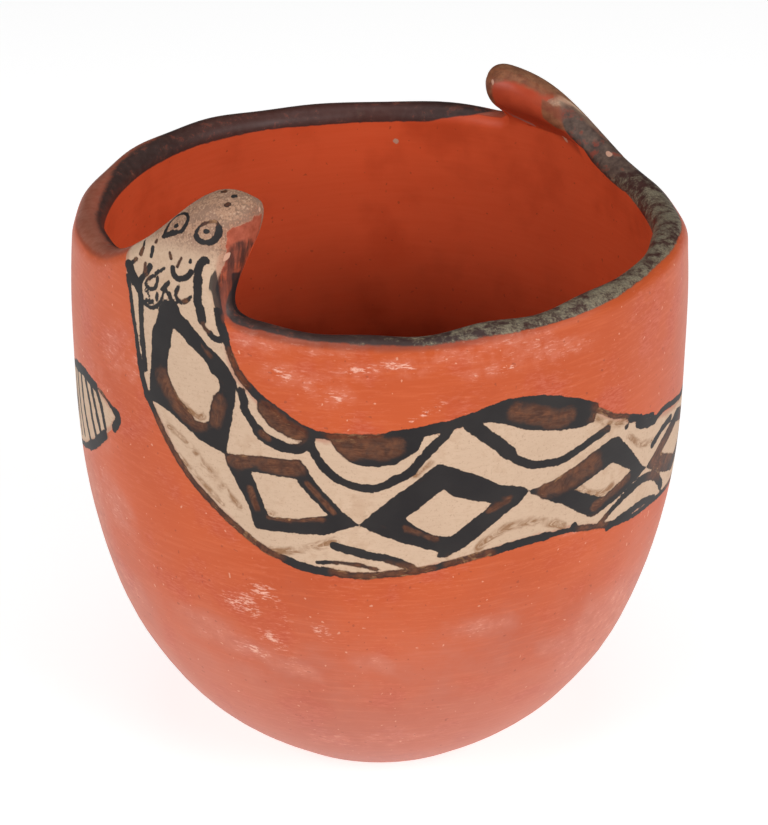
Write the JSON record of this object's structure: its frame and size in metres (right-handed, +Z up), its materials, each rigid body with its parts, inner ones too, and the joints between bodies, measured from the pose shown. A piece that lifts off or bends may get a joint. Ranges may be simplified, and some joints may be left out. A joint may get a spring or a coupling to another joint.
{
  "type": "clay jar",
  "caption": "Deep round-bodied earthenware jar with a small flat base, wide open mouth and two snake heads modelled from its rim.",
  "frame": {"origin": "centre of the flat base, on the surface the jar stands on", "axes": "+Z up through the open mouth; the pictured side faces -Y, and the taller head is at the front left, on the -X side"},
  "size_m": [0.176, 0.176, 0.1914],
  "materials": {
    "burnished_clay": "burnished red slip, satin"
  },
  "bodies": {
    "root": {"jar": "burnished_clay"}
  },
  "joints": []
}
